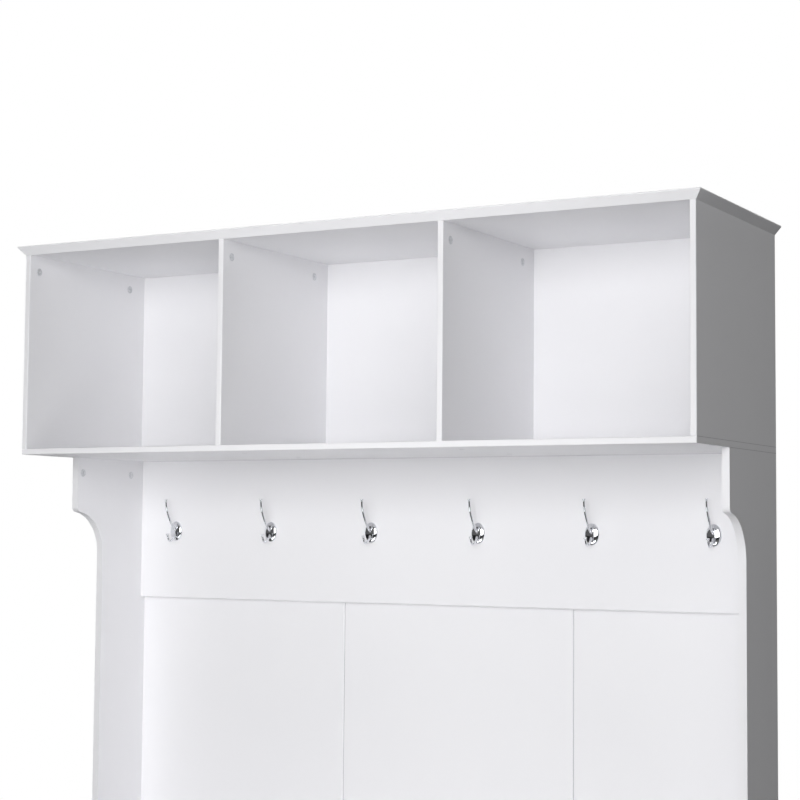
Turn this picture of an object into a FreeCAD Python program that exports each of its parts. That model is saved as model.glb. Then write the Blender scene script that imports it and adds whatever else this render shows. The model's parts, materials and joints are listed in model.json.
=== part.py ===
import FreeCAD, Part
import math
import os

os.makedirs("parts", exist_ok=True)

V = FreeCAD.Vector

# All lengths are in millimetres. X runs to the viewer's right, Y towards the wall, Z up.
# Depths are measured forwards from the wall plane, heights from the floor.

# Overall sizes
carcase_width = 1500
carcase_depth = 440
overall_height = 1800

# Shared fits
fit = 0.1  # radial clearance of fixed fasteners and seated boards
overrun = 2  # how far a cutting tool runs past a face
edge_ease = 1  # easing of the banded front edges
fastener_sides = 6  # flats of the fasteners that repeat inside the boards
disc_sides = 8  # flats of the small discs that repeat

# Crown board
crown_thickness = 18
crown_overhang = 13
crown_lip = 3  # upright band above the bevel

# Upper cabinet
cabinet_board = 12
cabinet_rise = 424  # underside of the deck to underside of the crown
cabinet_back_face = 40  # depth of the cubbies' back face
cubby_count = 3

# Uprights
upright_board = 15
upright_top_depth = 270
upright_depth = 180
ledge_drop = 118  # underside of the deck to the top of the cove
nose_radius = 12

# Hook rail and back panels
rail_board = 15
rail_height = 309
panel_board = 12
panel_setback = 10  # gap between the panels and the wall plane
left_seam = 549  # from the left outer face
right_seam = 415  # from the right outer face
seam_chamfer = 2.5
panel_groove = 3  # how deep the panels stand in the seat

# Double hooks
hook_count = 6
hook_end = 97.5  # first and last hook to the uprights
hook_drop = 158.5  # underside of the deck to a hook's centre
hook_plate_width = 29
hook_plate_height = 42
hook_plate_rim = 2
hook_plate_sides = 16
hook_dome = 7
dome_ring_shares = (1, 0.75, 0.4)  # rings of the dome, in the plate's half size
prong_radius = 2.6  # at the root
prong_tip_radius = 1.9
prong_sides = 8
prong_bend_steps = 3
prong_root = 4  # where both prongs start, out from the rail
upper_bend_out = 38
upper_bend_up = 46
upper_tip_out = 41
upper_tip_up = 68
upper_bend = 30
lower_root_drop = 5
lower_bend_out = 31
lower_bend_drop = 26
lower_tip_out = 43
lower_tip_drop = 9
lower_bend = 9
cap_radius = 4
cap_flare = 3
cap_disc = 1.4
hook_screw_radius = 2.5
hook_screw_bite = 3.5  # length inside the hook
hook_screw_head = 4.5
hook_screw_head_length = 2.5

# Cam locks and their bolts
cam_radius = 7.5
cam_depth = 9.5
cam_offset = 33  # cam centre to the joined edge
bolt_radius = 3
bolt_bite = 8.5  # length inside the board that it holds
cabinet_cam_inset = 30  # each inset is from the board's front edge
cabinet_cam_rear = 95
upright_cam_inset = 17
upright_cam_rear = 82
upright_foot_cam_inset = 30
upright_foot_cam_rear = 30
bench_cam_inset = 75
bench_cam_rear = 60

# Screws up through the deck
deck_screw_radius = 2.5
deck_screw_length = 45
deck_screw_head = 5
deck_screw_head_length = 3
deck_screw_inset = 95  # from the deck's front edge
deck_screw_rear = 140

# Rail dowels
dowel_radius = 4
dowel_half = 11  # length in each board
dowel_inset = 60  # from the rail's upper and lower edges

# Screws in the back panels
panel_screw_radius = 2
panel_screw_length = 22
panel_screw_head = 4
panel_screw_head_length = 2
panel_screw_inset = 60
panel_screw_rise = 60  # above the rail's lower edge
cabinet_screw_inset = 80  # from the deck and the crown

# Wall brackets
bracket_spacing = 1000
bracket_width = 30
bracket_leg = 40
bracket_back_gap = 2  # to the cabinet's back
bracket_sheet = 2
bracket_bend = 3
wall_hole_radius = 3
wall_hole_drop = 26
bracket_screw_radius = 2
bracket_screw_length = 12
bracket_screw_head = 4
bracket_screw_head_length = 2
bracket_screw_depth = 16

# Bench
bench_board = 18
seat_overhang = 15  # in front of the bench boards
seat_thickness = 18
seat_height = 480
seat_round = 3
bench_floor_board = 15
bench_floor_height = 50
bench_floor_setback = 6  # behind the bench's front edges
bench_housing = 5  # how deep the floor boards stand in the sides
plinth_board = 15
plinth_setback = 55  # behind the bench's front edges
bench_back_sheet = 3
bench_back_reveal = 2
glide_height = 4
glide_radius = 8
glide_taper = 1.5
glide_inset = 40

# Flip drawers
front_board = 15
front_side_gap = 2  # each front lies between the bench boards, flush with their edges
front_top_gap = 4
front_round = 2
pivot_behind = 14  # behind the front's inner face
pivot_rise = 55  # above the front's lower edge
sweep_clearance = 3
open_angle = 45  # degrees

# Turning plates
plate_thickness = 9
plate_gap = 4  # to the bench board beside it
plate_top_gap = 31.8  # to the underside of the seat
plate_rear_cut = 38  # how far the quadrant's rear is cut back from its radius
plate_drop = 52
plate_corner = 12
plate_groove = 3
boss_radius = 11
boss_length = 5
boss_sides = 12
flange_width = 16
flange_sheet = 4
flange_low = 30  # above the pivot
flange_top_gap = 58  # below the front's upper edge
slot_rim = 100  # from the slot's middle to the plate's rim
slot_start = 15  # degrees behind the vertical, drawer closed
stud_radius = 4
stud_clearance = 0.3

# Shoe rack between the turning plates
rack_board = 9
rack_floor_lift = 4  # above the plates' lower edge
rack_middle = 115  # front face of the divider, behind the pivot
rack_middle_height = 140
rack_back_height = 150
rack_back_margin = 4

# Pivots
pin_radius = 4
pin_running_clearance = 0.05
bush_wall = 2
bush_rim = 3  # from the barrel to the edge of the flange
bush_flange = 1.5
seat_web = 2  # left in the bench divider between the bushes of its two sides
pin_end_gap = 1

# Knobs
knob_drop = 45  # below the front's upper edge
knob_radius = 14
knob_neck_radius = 6
knob_neck_length = 12
knob_length = 23
knob_stud_radius = 2
knob_stud_length = 11

# Derived places
half_width = carcase_width / 2
overall_depth = carcase_depth + crown_overhang
rear_y = overall_depth / 2
crown_underside = overall_height - crown_thickness
deck_underside = crown_underside - cabinet_rise
deck_top = deck_underside + cabinet_board
cubby_width = (carcase_width - (cubby_count + 1) * cabinet_board) / cubby_count
rail_rear = panel_setback + panel_board
rail_face = rail_rear + rail_board
rail_bottom = deck_underside - rail_height
hook_z = deck_underside - hook_drop
upright_inner = half_width - upright_board
hook_pitch = 2 * (upright_inner - hook_end) / (hook_count - 1)
seat_underside = seat_height - seat_thickness
bench_depth = carcase_depth - seat_overhang
bench_inner = half_width - bench_board
floor_top = bench_floor_height + bench_floor_board
front_inner = bench_depth - front_board
floor_front = bench_depth - bench_floor_setback
pivot_depth = front_inner - pivot_behind
front_sweep = math.hypot(pivot_behind + front_board, pivot_rise)
pivot_z = floor_top + front_sweep + sweep_clearance
front_bottom = pivot_z - pivot_rise
front_top = seat_underside - front_top_gap
plate_radius = seat_underside - plate_top_gap - pivot_z
plate_reach = plate_radius - plate_rear_cut
slot_radius = plate_radius - slot_rim
pivot_seat = (bench_board - seat_web) / 2  # depth of the bushes and stop studs in the bench boards

left = V(-1, 0, 0)
right = V(1, 0, 0)
up = V(0, 0, 1)
down = V(0, 0, -1)
forward = V(0, -1, 0)

nodes = {}
cuts = {}


# Keep solids under a node's name
def add(name, *solids):
    nodes.setdefault(name, []).extend(solids)


# Keep a tool that is cut from a node before it is written
def drill(name, tool):
    cuts.setdefault(name, []).append(tool)


# A point from its X place, its depth from the wall plane and its height
def at(x, depth, z):
    return V(x, rear_y - depth, z)


# A flat board between two X places, two depths and two heights
def board(x0, x1, depth0, depth1, z0, z1):
    return Part.makeBox(x1 - x0, depth1 - depth0, z1 - z0, at(x0, depth1, z0))


# A round bar from one point to another
def rod(radius, start, end):
    axis = end - start
    return Part.makeCylinder(radius, axis.Length, start, axis)


# A bar with flat sides from one point to another, for pieces that repeat
def prism(sides, radius, start, end):
    axis = end - start
    turn = FreeCAD.Rotation(up, axis)
    corners = []
    for number in range(sides + 1):
        angle = 2 * math.pi * number / sides
        corners.append(start + turn.multVec(V(math.cos(angle), math.sin(angle), 0) * radius))
    return Part.Face(Part.makePolygon(corners)).extrude(axis)


# The edges around a shape's front face
def front_edges(shape):
    front = shape.BoundBox.YMin
    return [e for e in shape.Edges if e.CenterOfMass.y - front < fit]


# Round the edges around a shape's front face
def round_front(shape, radius):
    return shape.makeFillet(radius, front_edges(shape))


# Break the edges around a board's front face
def ease_front(shape):
    return shape.makeChamfer(edge_ease, front_edges(shape))


# A flat outline of straight and arc edges
def outline(*edges):
    return Part.Face(Part.Wire(edges))


def line(start, end):
    return Part.makeLine(start, end)


def arc(start, middle, end):
    return Part.Arc(start, middle, end).toShape()


# A flat face between corners
def flat(*corners):
    return Part.Face(Part.makePolygon([*corners, corners[0]]))


# A ruled solid through rings of as many corners each, with flat facets for pieces that repeat
def faceted(rings):
    faces = [flat(*rings[0]), flat(*rings[-1])]
    for low, high in zip(rings, rings[1:]):
        for n in range(len(low)):
            faces.append(flat(low[n - 1], low[n], high[n]))
            faces.append(flat(low[n - 1], high[n], high[n - 1]))
    skin = Part.Compound(faces)
    skin.sewShape()
    return Part.Solid(skin.Shells[0]).removeSplitter()


# Turn an outline of (radius, length) points about an axis that starts at a point
def turned(points, start, axis):
    corners = [V(radius, 0, length) for radius, length in points]
    corners.append(corners[0])
    face = Part.Face(Part.makePolygon(corners))
    shape = face.revolve(V(), up, 360)
    shape.Placement = FreeCAD.Placement(start, FreeCAD.Rotation(up, axis))
    return shape


# A screw with a flat head: its head's outer face is at a point, and its shank runs along an axis
def screw(head, axis, radius, length, head_radius, head_length):
    cap = prism(fastener_sides, head_radius, head, head + axis * head_length)
    return cap.fuse(prism(fastener_sides, radius, head, head + axis * length)).removeSplitter()


# The hole that such a screw sits in, open past its head
def screw_hole(head, axis, radius, length, head_radius, head_length):
    mouth = head - axis * overrun
    cap = prism(fastener_sides, head_radius + fit, mouth, head + axis * (head_length + fit))
    return cap.fuse(prism(fastener_sides, radius + fit, mouth, head + axis * (length + fit))).removeSplitter()


# A cam lock in one board's face, and its bolt through that board's edge into the board that it holds
def cam_joint(owner, held, mouth, inward, outward, thickness):
    add("cam_locks", prism(disc_sides, cam_radius, mouth, mouth + inward * cam_depth))
    floor = mouth + inward * (cam_depth + fit)
    drill(owner, prism(disc_sides, cam_radius + fit, mouth - inward * overrun, floor))
    core = mouth + inward * (thickness / 2)
    near = core + outward * (cam_radius + fit)
    far = core + outward * (cam_offset + bolt_bite)
    add("cam_bolts", prism(fastener_sides, bolt_radius, near, far))
    bore = prism(fastener_sides, bolt_radius + fit, core, far + outward * fit)
    drill(owner, bore)
    drill(held, bore)


# Crown: a bevel grows from the carcase to the overhang, with an upright lip above it
bevel_top = overall_height - crown_lip


def crown_outline(overhang, z):
    x = half_width + overhang
    front = carcase_depth + overhang
    return [at(-x, 0, z), at(x, 0, z), at(x, front, z), at(-x, front, z)]


bevel_rings = [crown_outline(0, crown_underside), crown_outline(crown_overhang, bevel_top)]
bevel = faceted(bevel_rings)
lip_x = half_width + crown_overhang
lip = board(-lip_x, lip_x, 0, overall_depth, bevel_top, overall_height)
crown = bevel.fuse(lip).removeSplitter()
top_edges = [e for e in crown.Edges if e.BoundBox.ZMin > overall_height - fit]
shown_edges = [e for e in top_edges if e.BoundBox.YMin < rear_y - fit]
add("crown_top", crown.makeChamfer(edge_ease, shown_edges))

# Upper cabinet: deck, two sides, dividers and back
add("cabinet_deck", ease_front(board(-half_width, half_width, 0, carcase_depth, deck_underside, deck_top)))


# A wall of the cabinet with its cams, and the screws that hold it to the deck
def cabinet_wall(name, x0, rear, cam_face, inward):
    x1 = x0 + cabinet_board
    middle = x0 + cabinet_board / 2
    add(name, ease_front(board(x0, x1, rear, carcase_depth, deck_top, crown_underside)))
    for depth in (cabinet_cam_rear, carcase_depth - cabinet_cam_inset):
        mouth = at(cam_face, depth, crown_underside - cam_offset)
        cam_joint(name, "crown_top", mouth, inward, up, cabinet_board)
    for depth in (deck_screw_rear, carcase_depth - deck_screw_inset):
        shank = (deck_screw_radius, deck_screw_length, deck_screw_head, deck_screw_head_length)
        head = at(middle, depth, deck_underside)
        add("deck_screws", screw(head, up, *shank))
        hole = screw_hole(head, up, *shank)
        drill("cabinet_deck", hole)
        drill(name, hole)


cabinet_inner = half_width - cabinet_board
cabinet_wall("cabinet_side_left", -half_width, 0, -cabinet_inner, left)
cabinet_wall("cabinet_side_right", cabinet_inner, 0, cabinet_inner, right)
cabinet_back_rear = cabinet_back_face - cabinet_board
cabinet_back = board(
    -cabinet_inner, cabinet_inner, cabinet_back_rear, cabinet_back_face, deck_top, crown_underside
)
add("cabinet_back", cabinet_back)
for number, side in enumerate(("left", "right"), 1):
    name = "cabinet_divider_" + side
    divider_x = -half_width + number * (cubby_width + cabinet_board)
    cabinet_wall(name, divider_x, cabinet_back_face, divider_x + cabinet_board, left)
    for z in (deck_top + cabinet_screw_inset, crown_underside - cabinet_screw_inset):
        head = at(divider_x + cabinet_board / 2, cabinet_back_rear, z)
        shank = (panel_screw_radius, panel_screw_length, panel_screw_head, panel_screw_head_length)
        add("panel_screws", screw(head, forward, *shank))
        hole = screw_hole(head, forward, *shank)
        drill("cabinet_back", hole)
        drill(name, hole)

# Uprights: wide under the deck, then a cove down to the narrow part
cove_radius = upright_top_depth - upright_depth
ledge_z = deck_underside - ledge_drop
cove_z = ledge_z - cove_radius
cove_middle = cove_radius * math.cos(math.pi / 4)


def upright(x0):
    foot_rear = at(x0, 0, seat_height)
    foot_front = at(x0, upright_depth, seat_height)
    cove_low = at(x0, upright_depth, cove_z)
    cove_mid = at(x0, upright_top_depth - cove_middle, cove_z + cove_middle)
    cove_high = at(x0, upright_top_depth, ledge_z)
    top_front = at(x0, upright_top_depth, deck_underside)
    top_rear = at(x0, 0, deck_underside)
    face = outline(
        line(foot_rear, foot_front),
        line(foot_front, cove_low),
        arc(cove_low, cove_mid, cove_high),
        line(cove_high, top_front),
        line(top_front, top_rear),
        line(top_rear, foot_rear),
    )
    shape = face.extrude(V(upright_board, 0, 0))
    nose = [e for e in shape.Edges if (e.CenterOfMass - cove_high).cross(right).Length < fit]
    return shape.makeFillet(nose_radius, nose)


for side, x0, face_x, inward in (
    ("left", -half_width, -upright_inner, left),
    ("right", upright_inner, upright_inner, right),
):
    name = "upright_" + side
    add(name, upright(x0))
    for depth in (upright_cam_rear, upright_top_depth - upright_cam_inset):
        mouth = at(face_x, depth, deck_underside - cam_offset)
        cam_joint(name, "cabinet_deck", mouth, inward, up, upright_board)
    for depth in (upright_foot_cam_rear, upright_depth - upright_foot_cam_inset):
        mouth = at(face_x, depth, seat_height + cam_offset)
        cam_joint(name, "seat_board", mouth, inward, down, upright_board)
    for z in (rail_bottom + dowel_inset, deck_underside - dowel_inset):
        centre = at(face_x, rail_rear + rail_board / 2, z)
        half = inward * dowel_half
        add("rail_dowels", prism(disc_sides, dowel_radius, centre - half, centre + half))
        reach = inward * (dowel_half + fit)
        hole = prism(disc_sides, dowel_radius + fit, centre - reach, centre + reach)
        drill(name, hole)
        drill("hook_rail", hole)

# Hook rail between the uprights, with its lower edge broken like the panels' seams
rail = board(-upright_inner, upright_inner, rail_rear, rail_face, rail_bottom, deck_underside)
rail_edge = [e for e in rail.Edges if (e.CenterOfMass - at(0, rail_face, rail_bottom)).Length < fit]
add("hook_rail", rail.makeChamfer(seam_chamfer, rail_edge))

# Three back panels that stand in a groove of the seat, with V joints at their seams
panel_edges = (-upright_inner, left_seam - half_width, half_width - right_seam, upright_inner)
panel_bottom = seat_height - panel_groove + fit
for side, x0, x1 in zip(("left", "middle", "right"), panel_edges, panel_edges[1:]):
    name = "back_panel_" + side
    panel = board(x0, x1, panel_setback, rail_rear, panel_bottom, deck_underside)
    seams = [at(x, rail_rear, (panel_bottom + deck_underside) / 2) for x in panel_edges[1:-1]]
    seam_edges = [e for e in panel.Edges if min((e.CenterOfMass - seam).Length for seam in seams) < fit]
    add(name, panel.makeChamfer(seam_chamfer, seam_edges))
    for x in (x0 + panel_screw_inset, x1 - panel_screw_inset):
        head = at(x, panel_setback, rail_bottom + panel_screw_rise)
        shank = (panel_screw_radius, panel_screw_length, panel_screw_head, panel_screw_head_length)
        add("panel_screws", screw(head, forward, *shank))
        hole = screw_hole(head, forward, *shank)
        drill(name, hole)
        drill("hook_rail", hole)


# A prong: a tapered bar along two runs and the bend between them, with a flared cap on its end
def prong(root, corner, tip, bend):
    first = (corner - root).normalize()
    second = (tip - corner).normalize()
    turn = first.getAngle(second)
    axis = first.cross(second).normalize()
    bend_start = corner - first * (bend * math.tan(turn / 2))
    centre = bend_start + axis.cross(first) * bend
    stations = [(root, first)]
    for step in range(prong_bend_steps + 1):
        swing = FreeCAD.Rotation(axis, math.degrees(turn) * step / prong_bend_steps)
        stations.append((centre + swing.multVec(bend_start - centre), swing.multVec(first)))
    stations.append((tip, second))

    # A ring of corners about a point of the bar, square to its run
    def ring(point, run, radius):
        side = right * radius
        lift = run.cross(right) * radius
        corners = []
        for number in range(prong_sides):
            angle = math.pi * (2 * number + 1) / prong_sides
            corners.append(point + side * math.cos(angle) + lift * math.sin(angle))
        return corners

    last = len(stations) - 1
    taper = (prong_tip_radius - prong_radius) / last
    rings = [ring(point, run, prong_radius + taper * number) for number, (point, run) in enumerate(stations)]
    rings.append(ring(tip + second * cap_flare, second, cap_radius))
    rings.append(ring(tip + second * (cap_flare + cap_disc), second, cap_radius))
    return faceted(rings)


# A double hook: an oval plate with a domed face, a long upper prong and a short lower one
def double_hook(x):
    # An oval ring of the plate, at a share of its half size
    def oval(share, out):
        corners = []
        for number in range(hook_plate_sides):
            angle = 2 * math.pi * number / hook_plate_sides
            across = share * hook_plate_width / 2 * math.cos(angle)
            rise = share * hook_plate_height / 2 * math.sin(angle)
            corners.append(at(x + across, rail_face + out, hook_z + rise))
        return corners

    rings = [oval(1, 0)]
    rings += [oval(share, hook_plate_rim + hook_dome * (1 - share**2)) for share in dome_ring_shares]
    plate = faceted(rings)
    upper = prong(
        at(x, rail_face + prong_root, hook_z),
        at(x, rail_face + upper_bend_out, hook_z + upper_bend_up),
        at(x, rail_face + upper_tip_out, hook_z + upper_tip_up),
        upper_bend,
    )
    lower = prong(
        at(x, rail_face + prong_root, hook_z - lower_root_drop),
        at(x, rail_face + lower_bend_out, hook_z - lower_bend_drop),
        at(x, rail_face + lower_tip_out, hook_z - lower_tip_drop),
        lower_bend,
    )
    return plate.fuse([upper, lower]).removeSplitter()


for number in range(hook_count):
    name = "hook_" + str(number + 1)
    x = (number - (hook_count - 1) / 2) * hook_pitch
    add(name, double_hook(x))
    head = at(x, rail_rear, hook_z)
    shank = (hook_screw_radius, rail_board + hook_screw_bite, hook_screw_head, hook_screw_head_length)
    add("hook_screws", screw(head, forward, *shank))
    hole = screw_hole(head, forward, *shank)
    drill("hook_rail", hole)
    drill(name, hole)

# Wall brackets under the crown, behind the cabinet's back
bracket_shelf = cabinet_back_rear - bracket_back_gap
for x in (-bracket_spacing / 2, bracket_spacing / 2):
    x0 = x - bracket_width / 2
    top = crown_underside
    corners = [
        at(x0, 0, top - bracket_leg),
        at(x0, 0, top),
        at(x0, bracket_shelf, top),
        at(x0, bracket_shelf, top - bracket_sheet),
        at(x0, bracket_sheet, top - bracket_sheet),
        at(x0, bracket_sheet, top - bracket_leg),
        at(x0, 0, top - bracket_leg),
    ]
    angle = Part.Face(Part.makePolygon(corners)).extrude(V(bracket_width, 0, 0))
    inner_bend = [
        e for e in angle.Edges if (e.CenterOfMass - at(x, bracket_sheet, top - bracket_sheet)).Length < fit
    ]
    angle = angle.makeFillet(bracket_bend, inner_bend)
    wall_hole = at(x, 0, top - wall_hole_drop)
    wall_bore = rod(wall_hole_radius, wall_hole - forward * overrun, wall_hole + forward * bracket_shelf)
    add("wall_brackets", angle.cut(wall_bore))
    head = at(x, bracket_screw_depth, top - bracket_sheet - bracket_screw_head_length)
    shank = (bracket_screw_radius, bracket_screw_length, bracket_screw_head, bracket_screw_head_length)
    add("bracket_screws", screw(head, up, *shank))
    bore = prism(fastener_sides, bracket_screw_radius + fit, head, head + up * (bracket_screw_length + fit))
    drill("wall_brackets", bore)
    drill("crown_top", bore)

# Bench: seat, sides, middle divider, floor boards, plinths and back
seat = board(-half_width, half_width, 0, carcase_depth, seat_underside, seat_height)
add("seat_board", round_front(seat, seat_round))
groove_z = (seat_height - panel_groove, seat_height + overrun)
drill("seat_board", board(-upright_inner, upright_inner, panel_setback, rail_rear + fit, *groove_z))


# An upright board of the bench with its cams, floor glides and pivots on the faces that carry a drawer
def bench_wall(name, x0, cam_face, cam_inward, pivot_faces):
    x1 = x0 + bench_board
    middle = x0 + bench_board / 2
    add(name, ease_front(board(x0, x1, bench_back_sheet, bench_depth, glide_height, seat_underside)))
    for depth in (bench_cam_rear, bench_depth - bench_cam_inset):
        mouth = at(cam_face, depth, seat_underside - cam_offset)
        cam_joint(name, "seat_board", mouth, cam_inward, up, bench_board)
    for depth in (glide_inset, bench_depth - glide_inset):
        foot = prism(disc_sides, glide_radius, at(middle, depth, 0), at(middle, depth, glide_height))
        rim = [e for e in foot.Edges if e.BoundBox.ZMax < fit]
        add("floor_glides", foot.makeChamfer(glide_taper, rim))
    for face_x, inward in pivot_faces:
        pivot_hardware(name, face_x, inward)
        housing = inward * bench_housing
        low = min(face_x, face_x + housing.x)
        high = max(face_x, face_x + housing.x)
        drill(name, board(low, high, 0, floor_front + fit, bench_floor_height, floor_top + fit))


# The bush and the stop stud of a turning plate, in the bench board beside it
def pivot_hardware(owner, face_x, inward):
    pivot = at(face_x, pivot_depth, pivot_z)
    bore_radius = pin_radius + pin_running_clearance
    bush_radius = bore_radius + bush_wall
    barrel = prism(disc_sides, bush_radius, pivot, pivot + inward * pivot_seat)
    flange = prism(disc_sides, bush_radius + bush_rim, pivot, pivot - inward * bush_flange)
    bore = rod(bore_radius, pivot - inward * overrun, pivot + inward * (pivot_seat + overrun))
    add("pivot_bushes", barrel.fuse(flange).cut(bore).removeSplitter())
    drill(owner, prism(disc_sides, bush_radius + fit, pivot, pivot + inward * (pivot_seat + fit)))
    angle = math.radians(slot_start)
    stud = pivot + V(0, slot_radius * math.sin(angle), slot_radius * math.cos(angle))
    stud_end = stud - inward * (plate_gap + plate_thickness)
    add("stop_studs", prism(disc_sides, stud_radius, stud_end, stud + inward * pivot_seat))
    drill(owner, prism(disc_sides, stud_radius + fit, stud, stud + inward * (pivot_seat + fit)))


divider_half = bench_board / 2
bench_wall("bench_side_left", -half_width, -bench_inner, left, [(-bench_inner, left)])
bench_wall("bench_side_right", bench_inner, bench_inner, right, [(bench_inner, right)])
bench_wall("bench_divider", -divider_half, divider_half, left, [(-divider_half, right), (divider_half, left)])
back_x = half_width - bench_back_reveal
add("bench_back", board(-back_x, back_x, 0, bench_back_sheet, bench_floor_height, seat_underside))


# A turning plate about the pivot: a quadrant with a curved stop slot, a boss, a flange and board grooves
def turning_plate(face_x, inward):
    x0 = face_x - inward.x * plate_gap
    inner_x = x0 - inward.x * plate_thickness
    across = V(inner_x - x0, 0, 0)

    # A point of the plate from its distance in front of the pivot and above it
    def spot(ahead, above):
        return at(x0, pivot_depth + ahead, pivot_z + above)

    # A point at a radius from the pivot, at degrees behind the vertical
    def polar(radius, degrees):
        turn = math.radians(degrees)
        return spot(-radius * math.sin(turn), radius * math.cos(turn))

    rim_high = spot(pivot_behind, math.sqrt(plate_radius**2 - pivot_behind**2))
    rim_low = spot(-plate_reach, math.sqrt(plate_radius**2 - plate_reach**2))
    low_front = spot(pivot_behind, -plate_drop)
    low_rear = spot(-plate_reach, -plate_drop)
    rim_middle_angle = math.degrees(math.asin(plate_reach / plate_radius)) / 2
    face = outline(
        line(low_front, low_rear),
        line(low_rear, rim_low),
        arc(rim_low, polar(plate_radius, rim_middle_angle), rim_high),
        line(rim_high, low_front),
    )
    plate = face.extrude(across)

    # Whether an edge runs across the plate at a point
    def crosses(edge, point):
        return (edge.CenterOfMass - point).cross(right).Length < fit

    rear_corners = [e for e in plate.Edges if crosses(e, low_rear) or crosses(e, rim_low)]
    plate = plate.makeFillet(plate_corner, rear_corners)

    boss_seat = spot(0, 0) + across
    boss = prism(boss_sides, boss_radius, boss_seat, boss_seat - inward * boss_length)
    flange_x = sorted((inner_x, inner_x - inward.x * flange_width))
    flange_rear = front_inner - flange_sheet
    flange_z = (pivot_z + flange_low, front_top - flange_top_gap)
    flange = board(*flange_x, flange_rear, front_inner, *flange_z)
    plate = plate.fuse([boss, flange]).removeSplitter()

    half = stud_radius + stud_clearance
    slot_end = slot_start + open_angle
    slot_mid = slot_start + open_angle / 2
    end_turn = math.degrees(half / slot_radius)
    slot_outer = slot_radius + half
    slot_inner = slot_radius - half
    first_tip = polar(slot_radius, slot_start - end_turn)
    last_tip = polar(slot_radius, slot_end + end_turn)
    slot = outline(
        arc(polar(slot_outer, slot_start), polar(slot_outer, slot_mid), polar(slot_outer, slot_end)),
        arc(polar(slot_outer, slot_end), last_tip, polar(slot_inner, slot_end)),
        arc(polar(slot_inner, slot_end), polar(slot_inner, slot_mid), polar(slot_inner, slot_start)),
        arc(polar(slot_inner, slot_start), first_tip, polar(slot_outer, slot_start)),
    )
    past = inward * overrun
    slot.translate(past)
    slot_tool = slot.extrude(across - past - past)
    pin_hole = rod(pin_radius + fit, spot(0, 0) + past, boss_seat - inward * boss_length - past)
    grooves = []
    groove_x = sorted((inner_x, inner_x + inward.x * plate_groove))
    for depth0, depth1, z0, z1 in rack_places:
        grooves.append(board(*groove_x, depth0 - fit, depth1 + fit, z0 - fit, z1 + fit))
    return plate.cut([slot_tool, pin_hole] + grooves)


# Where the rack boards lie: rear depth, front depth, lower edge and upper edge of each
rack_floor_low = pivot_z - plate_drop + rack_floor_lift
rack_floor_top = rack_floor_low + rack_board
rack_rear = pivot_depth - plate_reach + rack_back_margin
rack_middle_front = pivot_depth - rack_middle
rack_places = (
    (rack_rear, front_inner - fit, rack_floor_low, rack_floor_top),
    (rack_middle_front - rack_board, rack_middle_front, rack_floor_top, rack_floor_top + rack_middle_height),
    (rack_rear, rack_rear + rack_board, rack_floor_top, rack_floor_top + rack_back_height),
)

for side, outer_x, inner_x, sign in (
    ("left", -bench_inner, -divider_half, -1),
    ("right", bench_inner, divider_half, 1),
):
    x0 = min(outer_x, inner_x)
    x1 = max(outer_x, inner_x)
    housed0 = x0 - bench_housing + fit
    housed1 = x1 + bench_housing - fit
    floor_board = board(housed0, housed1, bench_back_sheet, floor_front, bench_floor_height, floor_top)
    add("bench_floor_" + side, floor_board)
    plinth_face = bench_depth - plinth_setback
    plinth = board(x0, x1, plinth_face - plinth_board, plinth_face, glide_height, bench_floor_height)
    add("plinth_" + side, plinth)

    # The drawer's front, with its edges rounded
    front_x = (x0 + front_side_gap, x1 - front_side_gap)
    front = board(*front_x, front_inner, bench_depth, front_bottom, front_top)
    front_name = "flip_front_" + side
    add(front_name, round_front(front, front_round))

    # Turning plates and the pins that they turn on
    outward = V(sign, 0, 0)
    for place, face_x, inward in (("outer", outer_x, outward), ("inner", inner_x, -outward)):
        add("turning_plate_" + side + "_" + place, turning_plate(face_x, inward))
        pivot = at(face_x, pivot_depth, pivot_z)
        pin_start = pivot + inward * (pivot_seat - pin_end_gap)
        pin_end = pivot - inward * (plate_gap + plate_thickness + boss_length)
        add("pivot_pins_" + side, rod(pin_radius, pin_start, pin_end))

    # Shoe rack, let into the plates
    plate_inset = plate_gap + plate_thickness - plate_groove + fit
    for part_name, place in zip(("rack_floor_", "rack_divider_", "rack_back_"), rack_places):
        add(part_name + side, board(x0 + plate_inset, x1 - plate_inset, *place))

    # Knob with the stud that holds it
    knob_seat = at(sum(front_x) / 2, bench_depth, front_top - knob_drop)
    knob_points = [
        (0, 0),
        (knob_neck_radius, 0),
        (knob_neck_radius, knob_neck_length),
        (knob_radius, knob_neck_length),
        (knob_radius, knob_length),
        (0, knob_length),
    ]
    stud_end = knob_seat - forward * knob_stud_length
    stud = prism(fastener_sides, knob_stud_radius, knob_seat, stud_end)
    add("knob_" + side, turned(knob_points, knob_seat, forward).fuse(stud).removeSplitter())
    hole_start = knob_seat + forward * overrun
    drill(front_name, prism(fastener_sides, knob_stud_radius + fit, hole_start, stud_end - forward * fit))

for name, solids in nodes.items():
    shape = solids[0] if len(solids) == 1 else Part.makeCompound(solids)
    if name in cuts:
        shape = shape.cut(cuts[name])
    shape.exportStep("parts/" + name + ".step")
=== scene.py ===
import json
import math

import bmesh
import bpy
from mathutils import Matrix, Vector


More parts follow.
